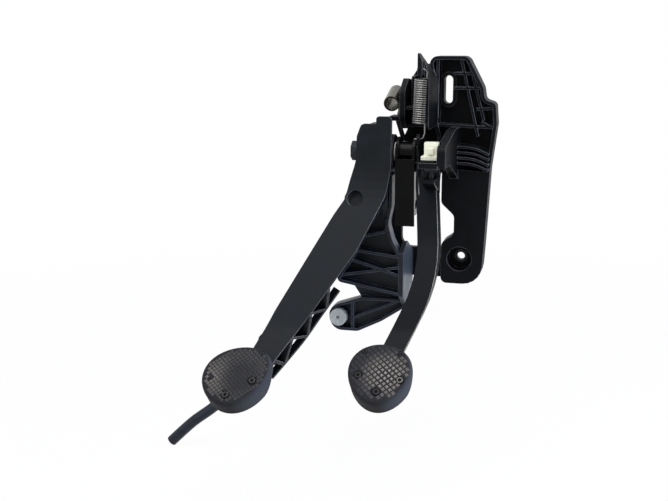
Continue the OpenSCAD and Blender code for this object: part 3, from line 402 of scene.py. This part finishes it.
# %% Dress the solids
finish_nodes = {
    bracket_nylon: ("main_bracket",),
    leg_nylon_painted_light: ("clutch_leg",),
    arm_nylon: ("clutch_arm",),
    gloss_paint: ("brake_tube", "brake_fork", "spring_ear"),
    satin_paint: ("brake_arm", "brake_pad_plate"),
    pad_rubber: ("brake_pad_rubber", "clutch_pad_rubber"),
    buffer_rubber: ("stop_buffer",),
    seal_rubber: ("piston_seals",),
    hose_rubber: ("supply_hose",),
    bright_zinc: ("leg_screws", "eye_screws", "cylinder_screws", "pivot_washer", "push_rod",
                  "push_rod_pin", "pin_clip", "cylinder_circlip"),
    phosphate: ("pivot_bolt", "bolt_bushes", "switch_clip"),
    yellow_zinc: ("rolled_eye",),
    spring_wire: ("brake_spring", "piston_spring"),
    turned_brass: ("pivot_insert", "switch_terminals"),
    white_acetal: ("brake_bush_left", "brake_bush_right", "clutch_bush_left", "clutch_bush_right"),
    cream_nylon: ("switch_body",),
    black_acetal: ("switch_collar", "switch_plunger", "supply_elbow"),
    cylinder_nylon: ("cylinder_body",),
    turned_alloy: ("clutch_piston",),
}
for material, names in finish_nodes.items():
    for name in names:
        nodes[name].data.materials.clear()
        nodes[name].data.materials.append(material)
print("dressed", sum(len(names) for names in finish_nodes.values()), "solids")

# %% [markdown]
# ## Two trees that make what repeats
# The first sweeps a round section along a path: it makes the hose and the springs. The second sets
# one small piece on every point of a cloud, turned and sized by the point's own attributes: it
# makes the lozenges and studs of the pads and the screws. Copies placed one by one would do too, but
# a tree keeps the rule in one place, and its points carry the wear along.


# %% Geometry trees
def new_tree(name, inputs):
    tree = bpy.data.node_groups.new(name, "GeometryNodeTree")
    tree.interface.new_socket("Geometry", in_out="INPUT", socket_type="NodeSocketGeometry")
    keys = {label: tree.interface.new_socket(label, in_out="INPUT", socket_type=kind).identifier
            for label, kind in inputs.items()}
    tree.interface.new_socket("Geometry", in_out="OUTPUT", socket_type="NodeSocketGeometry")
    return tree, keys


sweep_tree, sweep_keys = new_tree("sweep_round", {
    "Radius": "NodeSocketFloat", "Sides": "NodeSocketInt", "Finish": "NodeSocketMaterial"})
given = add_node(sweep_tree, "NodeGroupInput").outputs
line = add_node(sweep_tree, "GeometryNodeMeshToCurve", {"Mesh": given["Geometry"]})
section = add_node(sweep_tree, "GeometryNodeCurvePrimitiveCircle",
                   {"Resolution": given["Sides"], "Radius": given["Radius"]})
tube = add_node(sweep_tree, "GeometryNodeCurveToMesh",
                {"Curve": line.outputs[0], "Profile Curve": section.outputs[0], "Fill Caps": True})
whole = add_node(sweep_tree, "GeometryNodeRealizeInstances", {"Geometry": tube.outputs[0]})
smoothed = add_node(sweep_tree, "GeometryNodeSetShadeSmooth", {"Geometry": whole.outputs[0]})
painted = add_node(sweep_tree, "GeometryNodeSetMaterial",
                   {"Geometry": smoothed.outputs[0], "Material": given["Finish"]})
add_node(sweep_tree, "NodeGroupOutput", {"Geometry": painted.outputs[0]})

set_tree, set_keys = new_tree("set_on_points", {
    "Piece": "NodeSocketObject", "Size": "NodeSocketFloat", "Finish": "NodeSocketMaterial"})
given = add_node(set_tree, "NodeGroupInput").outputs
piece = add_node(set_tree, "GeometryNodeObjectInfo", {"Object": given["Piece"], "As Instance": True})
turn = add_node(set_tree, "GeometryNodeInputNamedAttribute", {"Name": "turn"},
                data_type="FLOAT_VECTOR")
size = add_node(set_tree, "GeometryNodeInputNamedAttribute", {"Name": "size"}, data_type="FLOAT")
scaled = add_node(set_tree, "ShaderNodeMath", {0: size.outputs[0], 1: given["Size"]},
                  operation="MULTIPLY")
turned_by = add_node(set_tree, "FunctionNodeEulerToRotation", {0: turn.outputs[0]})
placed = add_node(set_tree, "GeometryNodeInstanceOnPoints", {
    "Points": given["Geometry"], "Instance": piece.outputs["Geometry"],
    "Rotation": turned_by.outputs[0], "Scale": scaled.outputs[0]})
whole = add_node(set_tree, "GeometryNodeRealizeInstances", {"Geometry": placed.outputs[0]})
painted = add_node(set_tree, "GeometryNodeSetMaterial",
                   {"Geometry": whole.outputs[0], "Material": given["Finish"]})
add_node(set_tree, "NodeGroupOutput", {"Geometry": painted.outputs[0]})
print("trees:", sweep_tree.name, "and", set_tree.name)


# %% [markdown]
# A tree works as a modifier on a seed of bare points or edges. Its result is copied to a plain mesh
# and the seed is removed, because a plain mesh can be moved, bound to a body and exported.


# %% Grow a plain mesh from a tree
def shown(name, mesh):
    thing = bpy.data.objects.new(name, mesh)
    scene.collection.objects.link(thing)
    return thing


def grown(name, seed_mesh, tree, keys, values):
    carrier = shown(name + "_seed", seed_mesh)
    modifier = carrier.modifiers.new("grow", "NODES")
    modifier.node_group = tree
    for label, value in values.items():
        modifier[keys[label]] = value
    bpy.context.view_layer.update()
    made = carrier.evaluated_get(bpy.context.evaluated_depsgraph_get())
    mesh = bpy.data.meshes.new_from_object(made)
    bpy.data.objects.remove(carrier)
    print(name, "has", len(mesh.polygons), "faces")
    return shown(name, mesh)


def path_mesh(name, points):
    mesh = bpy.data.meshes.new(name)
    mesh.from_pydata(points, [(i, i + 1) for i in range(len(points) - 1)], [])
    return mesh


def point_mesh(name, rows):
    mesh = bpy.data.meshes.new(name)
    mesh.from_pydata([row["at"] for row in rows], [], [])
    turns = mesh.attributes.new("turn", "FLOAT_VECTOR", "POINT")
    turns.data.foreach_set("vector", [part for row in rows for part in row["turn"]])
    for label in ("size", "wear"):
        numbers = mesh.attributes.new(label, "FLOAT", "POINT")
        numbers.data.foreach_set("value", [row[label] for row in rows])
    return mesh


# %% [markdown]
# ## Supply hose
# A moulded rubber hose feeds the master cylinder. It leaves the elbow down and to the left and
# hangs behind the clutch pedal to a bare end. The route repeats the points of the solid hose, which
# is thinner than the photograph shows. A smooth line runs through them, and the first tree sweeps it.

# %% Hose
HOSE_D = 0.013
HOSE_SIDES, HOSE_STEPS = 24, 6
HOSE_ROUTE = [
    (-0.063067, -0.021, 0.038830), (-0.070491, -0.021, 0.031406), (-0.075795, -0.021, 0.026103),
    (-0.086, -0.023, 0.006), (-0.103, -0.026, -0.025), (-0.124, -0.030, -0.056),
    (-0.150, -0.036, -0.098), (-0.174, -0.042, -0.138), (-0.198, -0.047, -0.168),
    (-0.228, -0.052, -0.196), (-0.255, -0.056, -0.217), (-0.283, -0.058, -0.244)]


def curve_through(points, steps):
    ends = [points[0], *points, points[-1]]
    found = []
    for a, b, c, d in zip(ends, ends[1:], ends[2:], ends[3:]):
        a, b, c, d = (Vector(p) for p in (a, b, c, d))
        for k in range(steps):
            t = k / steps
            bend = 2 * a - 5 * b + 4 * c - d + t * (3 * (b - c) + d - a)
            found.append(b + 0.5 * t * ((c - a) + t * bend))
    return found + [Vector(points[-1])]


hose_line = curve_through(HOSE_ROUTE, HOSE_STEPS)
hose = grown("supply_hose_rubber", path_mesh("hose_line", hose_line), sweep_tree, sweep_keys,
             {"Radius": HOSE_D / 2, "Sides": HOSE_SIDES, "Finish": hose_rubber})
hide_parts("supply_hose")
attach(hose, "bracket")

# %% [markdown]
# ## Springs
# The return spring is close-wound wire with a hook at each end, one in the horn of the bracket and
# one in the ear of the brake hub. It stretches as the pedal goes down. Every turn is modelled,
# because the light on each one shows it is a spring.

# %% Return spring
RISE, RIGHT, BACK = Vector((0, 0, 1)), Vector((1, 0, 0)), Vector((0, 1, 0))
COIL_STEPS = 20
SPRING_X = 30
HORN_HOOK = Vector((SPRING_X, -105, 216.1))
EAR_HOOK = Vector((SPRING_X, -114, 144.6))
# The coils start below the upper hook and end above the lower one
COILS_BELOW, COILS_ABOVE = 10, 16.4
COIL_R, COILS, WIRE_R = 6.1, 20, 0.64
WIRE_SIDES = 10


def coil_line(top, bottom, radius, coils, across, along):
    count = coils * COIL_STEPS
    found = []
    for i in range(count + 1):
        angle = 2 * pi * i / COIL_STEPS
        found.append(top + (bottom - top) * i / count
                     + radius * (across * cos(angle) + along * sin(angle)))
    return found


def hook(end, points):
    return [end + Vector((x, 0, z)) for x, z in points]


upper_hook = hook(HORN_HOOK, [(-4.5, 0), (0, 0), (3, -0.3), (5, -1.6), (COIL_R, -4), (COIL_R, -7)])
lower_hook = hook(EAR_HOOK, [(COIL_R, 12), (COIL_R, 6), (5, 2), (3, 0.5), (0, 0), (-4.5, 0)])
coils = coil_line(HORN_HOOK - COILS_BELOW * RISE, EAR_HOOK + COILS_ABOVE * RISE, COIL_R, COILS,
                  RIGHT, BACK)
spring_line = [p * MM for p in upper_hook + coils + lower_hook]
return_spring = grown("return_spring_wire", path_mesh("spring_line", spring_line), sweep_tree,
                      sweep_keys, {"Radius": WIRE_R * MM, "Sides": WIRE_SIDES, "Finish": spring_wire})
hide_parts("brake_spring")
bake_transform(return_spring)

# %% [markdown]
# The spring in the cylinder pushes the piston back. It has no hooks, so a plain coil from the piston
# to the end wall is enough.

# %% Piston spring
CYLINDER_X, CYLINDER_Z = -45, 56.897
PISTON_END_Y, WALL_Y = -10.4, 28.89
PISTON_COIL_R, PISTON_COILS, PISTON_WIRE_R = 6.55, 6, 0.6
PISTON_WIRE_SIDES = 8
rest_end = Vector((CYLINDER_X, PISTON_END_Y, CYLINDER_Z))
wall_end = Vector((CYLINDER_X, WALL_Y, CYLINDER_Z))
piston_line = [p * MM for p in coil_line(rest_end, wall_end, PISTON_COIL_R, PISTON_COILS, RIGHT, RISE)]
piston_coil = grown("piston_spring_wire", path_mesh("piston_line", piston_line), sweep_tree,
                    sweep_keys, {"Radius": PISTON_WIRE_R * MM, "Sides": PISTON_WIRE_SIDES,
                                 "Finish": spring_wire})
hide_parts("piston_spring")
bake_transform(piston_coil)

# %% [markdown]
# ## Turned pieces
# Screw heads, pad studs and the stop buffer are all round about an axis. A screw modifier could turn
# their profiles, but a list of rings can also have lobes, which give a screw its six-lobed socket.
# One function skins a list of loops, where a loop of one point is a pole. Another makes the loops
# from rings of radius, height and lobe depth.

# %% Turn rings into a mesh
MERGE = 1e-6
LOBES = 6


def skin(name, loops, sides):
    mesh = bmesh.new()
    rows = [[mesh.verts.new(point) for point in loop] for loop in loops]
    for low, high in zip(rows, rows[1:]):
        for k in range(sides):
            n = (k + 1) % sides
            corners = [low[k % len(low)], low[n % len(low)], high[n % len(high)], high[k % len(high)]]
            mesh.faces.new(list(dict.fromkeys(corners)))
    bmesh.ops.remove_doubles(mesh, verts=mesh.verts, dist=MERGE)
    bmesh.ops.recalc_face_normals(mesh, faces=mesh.faces)
    data = bpy.data.meshes.new(name)
    mesh.to_mesh(data)
    mesh.free()
    data.polygons.foreach_set("use_smooth", [True] * len(data.polygons))
    return data


def angles_of(sides):
    return [2 * pi * k / sides for k in range(sides)]


def turned(name, rings, sides):
    loops = []
    for r, z, lobe in rings:
        reach = [r + lobe * cos(LOBES * a) for a in angles_of(sides)]
        loop = [(f * cos(a), f * sin(a), z) for f, a in zip(reach, angles_of(sides))]
        loops.append(loop if r else [(0, 0, z)])
    return skin(name, loops, sides)


# %% [markdown]
# The screws that hold the leg, the eye and the cylinder are pan heads with a six-lobed socket. The
# screw is drawn with a head of radius 1 and scaled to each real head.

# %% Screws
SCREW_RINGS = [
    (0, 0.35, 0), (0.3, 0.35, 0.07), (0.34, 0.85, 0.08), (0.42, 0.86, 0), (0.7, 0.78, 0),
    (0.9, 0.55, 0), (0.95, 0.3, 0), (0.95, 0.12, 0), (1.0, 0.1, 0), (1.0, 0.0, 0), (0.5, 0.0, 0),
    (0.5, -1.2, 0), (0, -1.3, 0)]
SCREW_SIDES = 36
LEG_SCREW_R, EYE_SCREW_R, CYLINDER_SCREW_R = 4.6, 2.4, 5.0
CYLINDER_SCREW_X = 21.55
TO_DRIVER = (radians(90), 0, 0)
TO_LEFT = (0, radians(-90), 0)
screw_rows = [(LEG_SCREW_R, TO_DRIVER, (-6, -13, z)) for z in (-17, -4)]
screw_rows += [(LEG_SCREW_R, TO_LEFT, (-15.9, -34, 116))]
screw_rows += [(EYE_SCREW_R, TO_LEFT, (-2.5, y, 166)) for y in (-50, -30)]
screw_rows += [(CYLINDER_SCREW_R, TO_DRIVER, (CYLINDER_X + side * CYLINDER_SCREW_X, -14, CYLINDER_Z))
               for side in (-1, 1)]
screw_shape = shown("screw_shape", turned("screw_shape", SCREW_RINGS, SCREW_SIDES))
screws = grown("pan_head_screws", point_mesh("screw_places", [
    {"at": metres(*at), "turn": turn_by, "size": r, "wear": 0} for r, turn_by, at in screw_rows]),
    set_tree, set_keys, {"Piece": screw_shape, "Size": MM, "Finish": bright_zinc})
bpy.data.objects.remove(screw_shape)
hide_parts("leg_screws", "eye_screws", "cylinder_screws")
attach(screws, "bracket")

# %% [markdown]
# The stop buffer is a rubber button pressed into the tongue, with a shallow dish and a blind hole.

# %% Stop buffer
BUFFER_AT = metres(-71, -55, -71)
BUFFER_RINGS = [
    (0, -3.6, 0), (1.9, -3.6, 0), (2.1, -0.9, 0), (2.6, -0.5, 0), (6.4, -0.7, 0), (7.2, -0.35, 0),
    (8.6, 0, 0), (9.6, -0.4, 0), (10, -1.4, 0), (10, -8, 0), (4, -8, 0), (4, -20.5, 0),
    (0, -20.8, 0)]
BUFFER_SIDES = 64


def placed_at(place, tilt):
    return Matrix.Translation(place) @ Matrix.Rotation(radians(tilt), 4, "X") @ Matrix.Scale(MM, 4)


buffer_mesh = turned("stop_buffer_button", BUFFER_RINGS, BUFFER_SIDES)
buffer_mesh.transform(placed_at(BUFFER_AT, 90))
buffer_mesh.materials.append(buffer_rubber)
stop_button = shown("stop_buffer_button", buffer_mesh)
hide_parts("stop_buffer")
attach(stop_button, "bracket")
print("buffer button:", len(buffer_mesh.polygons), "faces")

# %% [markdown]
# ## Pedal pads
# Each pad is an egg-shaped rubber cap with a crowned face, a rolled edge and a deep skirt. The face
# is a net of small lozenges, with round studs set among them where the mould's pins stood. Shoes
# polish the lozenges pale, most in the middle of the brake pad and at the left of the clutch pad,
# and have worn the clutch pad's middle nearly smooth.

# %% Pad sizes
PAD_TILT = 48
PAD_SIDES = 96
# How much wider the egg is at its top end, and narrower at its bottom end
EGG_TAPER = 0.14
# The face lies inside the rolled edge by this much, and falls from its middle by CROWN
FACE_INSET = -2.6
FACE_Z, CROWN = -0.9, 0.9
FACE_SHARES = (0.3, 0.6, 0.85)
# The skirt is shallow above SKIRT_TOP, where the arm passes, and deep below SKIRT_BOTTOM
ROLL_Z, SKIRT_TOP, SKIRT_BOTTOM = -5.1, 10, -14
SKIRT_SHALLOW, SKIRT_DEEP = 0.43, 1.15
EDGE_RINGS = [
    (FACE_INSET, -1.9), (-1.2, -2.3), (-0.1, -3.2), (0.6, -4.6), (0.95, -6.5), (1.0, -9), (0.8, -13),
    (0.7, -17), (0.95, -18.2), (0.9, -19.4), (0.3, -20), (-1.9, -20), (-2.6, -19.4), (-2.85, -18),
    (-2.9, -5.05)]
# A stud is its place, its radius and how pale its ring is. Lozenges shrink by "shrink" where they
# are most worn. In the smooth patch they sink by smooth_mm and lose smooth_fade of their paleness;
# the brake pad has no such patch.
PADS = {
    "brake": {
        "centre": (10.4, -216, -76.7), "turn": 0, "width": 62.5, "height": 67, "body": "brake_pedal",
        "studs": [(-18.3, 23.5, 2.4, 0.03), (19.5, 23.2, 2.4, 0.03), (-20.5, -4.5, 3.4, 0.05),
                  (22, -6.5, 3.4, 0.4), (0.6, -21.5, 3.4, 0.06)],
        "pitch": 6.9, "worn_at": (9, -3), "worn_reach": 30, "worn_least": 0.03, "worn_most": 1.0,
        "shrink": 0.4, "smooth_at": (0, 0), "smooth_reach": 1, "smooth_mm": 0, "smooth_fade": 0},
    "clutch": {
        "centre": (-133.2, -232, -83.6), "turn": 128, "width": 62.5, "height": 73,
        "body": "clutch_pedal",
        "studs": [(18.2, -7.2, 3.4, 0.1), (-5.8, -25.4, 3.4, 0.1), (21.5, 24.5, 2.2, 0.08),
                  (-26, -7, 1.8, 0.1)],
        "pitch": 5.4, "worn_at": (-27, -6), "worn_reach": 30, "worn_least": 0.11, "worn_most": 0.45,
        "shrink": 0.0, "smooth_at": (5, -5), "smooth_reach": 24, "smooth_mm": 0.55,
        "smooth_fade": 0.7},
}


def egg(angle, pad, grow=0.0, share=1.0):
    narrow = 1 + EGG_TAPER * sin(angle)
    return (share * (pad["width"] / 2 + grow) * cos(angle) * narrow,
            share * (pad["height"] / 2 + grow) * sin(angle))


def egg_share(x, y, pad, grow):
    v = y / (pad["height"] / 2 + grow)
    u = x / ((pad["width"] / 2 + grow) * (1 + EGG_TAPER * max(-1, min(1, v))))
    return hypot(u, v)


def face_height(share):
    return FACE_Z - CROWN * share ** 2


print("pads, mm:", {side: (pad["width"], pad["height"]) for side, pad in PADS.items()})

# %% [markdown]
# The cap is one closed skin: rings run from the middle of the face out over the rolled edge, down
# the skirt and back up inside it. It is turned as the pad sits on its pedal, and only then is the
# skirt made shallow at the top, where the arm passes.


# %% Pad cap
def pad_cap(name, pad):
    angles = angles_of(PAD_SIDES)
    loops = [[(0, 0, FACE_Z)]]
    loops += [[(*egg(a, pad, FACE_INSET, share), face_height(share)) for a in angles]
              for share in FACE_SHARES]
    loops += [[(*egg(a, pad, grow), z) for a in angles] for grow, z in EDGE_RINGS]
    loops += [[(0, 0, EDGE_RINGS[-1][1])]]
    data = skin(name, loops, PAD_SIDES)
    data.transform(Matrix.Rotation(radians(pad["turn"]), 4, "Z"))
    for corner in data.vertices:
        drop = max(0, min(1, (SKIRT_TOP - corner.co.y) / (SKIRT_TOP - SKIRT_BOTTOM)))
        depth = SKIRT_SHALLOW + (SKIRT_DEEP - SKIRT_SHALLOW) * drop * drop * (3 - 2 * drop)
        if corner.co.z < ROLL_Z:
            corner.co.z = ROLL_Z + depth * (corner.co.z - ROLL_Z)
    return data


skirt_foot = min(z for _, z in EDGE_RINGS)
print("skirt below the roll, mm:",
      [round(depth * (ROLL_Z - skirt_foot), 1) for depth in (SKIRT_SHALLOW, SKIRT_DEEP)])

# %% [markdown]
# A lozenge is a turned piece of four sides. Every place in the net gets one, except near a stud and
# past the edge of the face, and with it a number for its wear, which the finish of the rubber reads.
# The wear is partly random, with a fixed seed, so that each run gives the same pad.

# %% Lozenges and studs
# The lozenge is drawn for a pitch of 1, the stud and the black disc of painted shade in and round
# it for a radius of 1
LOZENGE_RINGS = [(0, 0.13, 0), (0.3, 0.12, 0), (0.43, 0, 0), (0.43, -0.08, 0), (0, -0.08, 0)]
STUD_RINGS = [(0.5, -0.05, 0), (0.55, 0.22, 0), (0.65, 0.26, 0), (0.85, 0.26, 0), (0.97, 0.18, 0),
              (1, -0.05, 0), (0.5, -0.05, 0)]
STUD_SHADE_RINGS = [(0, 0.11, 0), (0.48, 0.11, 0), (0.52, 0.075, 0), (1.34, 0.075, 0), (1.38, 0.04, 0),
                (1.38, -0.2, 0), (0, -0.2, 0)]
STUD_SIDES = 28
# Rows lie closer than columns. The net ends just inside the face's edge and leaves room for studs.
ROW_STEP = 0.44
ROWS, COLUMNS = range(-14, 15), range(-8, 9)
NET_ENDS, STUD_ROOM = 0.97, 1.4
# By chance a lozenge has between this share and all of the wear of its place
WEAR_SEED, WEAR_SHARE_LEAST = 7, 0.75
lozenge = shown("lozenge_shape", turned("lozenge_shape", LOZENGE_RINGS, 4))
lozenge.data.polygons.foreach_set("use_smooth", [False] * len(lozenge.data.polygons))
stud = shown("stud_shape", turned("stud_shape", STUD_RINGS, STUD_SIDES))
stud_shade = shown("socket_shape", turned("socket_shape", STUD_SHADE_RINGS, STUD_SIDES))


def in_egg(x, y, pad):
    turn_back = radians(-pad["turn"])
    across = x * cos(turn_back) - y * sin(turn_back)
    along = x * sin(turn_back) + y * cos(turn_back)
    return egg_share(across, along, pad, FACE_INSET)


def closeness(x, y, middle, reach):
    return max(0, 1 - hypot(x - middle[0], y - middle[1]) / reach)


def lozenge_rows(pad, chance):
    rows = []
    pitch = pad["pitch"]
    for row in ROWS:
        for column in COLUMNS:
            x = (column + 0.5 * (row % 2)) * pitch
            y = row * pitch * ROW_STEP
            share = in_egg(x, y, pad)
            on_stud = any(hypot(x - sx, y - sy) < r + STUD_ROOM for sx, sy, r, _ in pad["studs"])
            if share > NET_ENDS or on_stud:
                continue
            near = closeness(x, y, pad["worn_at"], pad["worn_reach"])
            wear = pad["worn_least"] + (pad["worn_most"] - pad["worn_least"]) * near
            wear *= chance.uniform(WEAR_SHARE_LEAST, 1.0)
            smooth = min(1, 2 * closeness(x, y, pad["smooth_at"], pad["smooth_reach"]))
            rows.append({"at": (x, y, face_height(share) - pad["smooth_mm"] * smooth),
                         "turn": (0, 0, 0), "size": pitch * (1 - pad["shrink"] * near),
                         "wear": wear * (1 - pad["smooth_fade"] * smooth)})
    return rows


def stud_rows(pad):
    return [{"at": (x, y, face_height(in_egg(x, y, pad))), "turn": (0, 0, 0), "size": r, "wear": wear}
            for x, y, r, wear in pad["studs"]]


print("faces of a lozenge, stud and socket:",
      [len(shape.data.polygons) for shape in (lozenge, stud, stud_shade)])

# %% [markdown]
# Both pads go through the same steps. They are drawn flat, in millimetres, and then moved to their
# places as whole meshes, so that cap, lozenges, studs and the discs of painted shade stay together
# on their pedal.

# %% Both pads
for side, pad in PADS.items():
    chance = random.Random(WEAR_SEED)
    cap = shown(side + "_pad_cap", pad_cap(side + "_pad_cap", pad))
    cap.data.materials.append(pad_rubber)
    net = grown(side + "_pad_lozenges", point_mesh("net", lozenge_rows(pad, chance)), set_tree,
                set_keys, {"Piece": lozenge, "Size": 1.0, "Finish": pad_rubber})
    pins = grown(side + "_pad_studs", point_mesh("pins", stud_rows(pad)), set_tree, set_keys,
                 {"Piece": stud, "Size": 1.0, "Finish": pad_rubber})
    # A black disc under each stud paints the shade in its pin hole and round its foot
    stud_shades = grown(side + "_pad_sockets", point_mesh("stud_shades", stud_rows(pad)), set_tree, set_keys,
                    {"Piece": stud_shade, "Size": 1.0, "Finish": seal_rubber})
    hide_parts(side + "_pad_rubber")
    for piece in (cap, net, pins, stud_shades):
        piece.data.transform(placed_at(metres(*pad["centre"]), 90 - PAD_TILT))
        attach(piece, pad["body"])
for shape in (lozenge, stud, stud_shade):
    bpy.data.objects.remove(shape)
print("pads done")
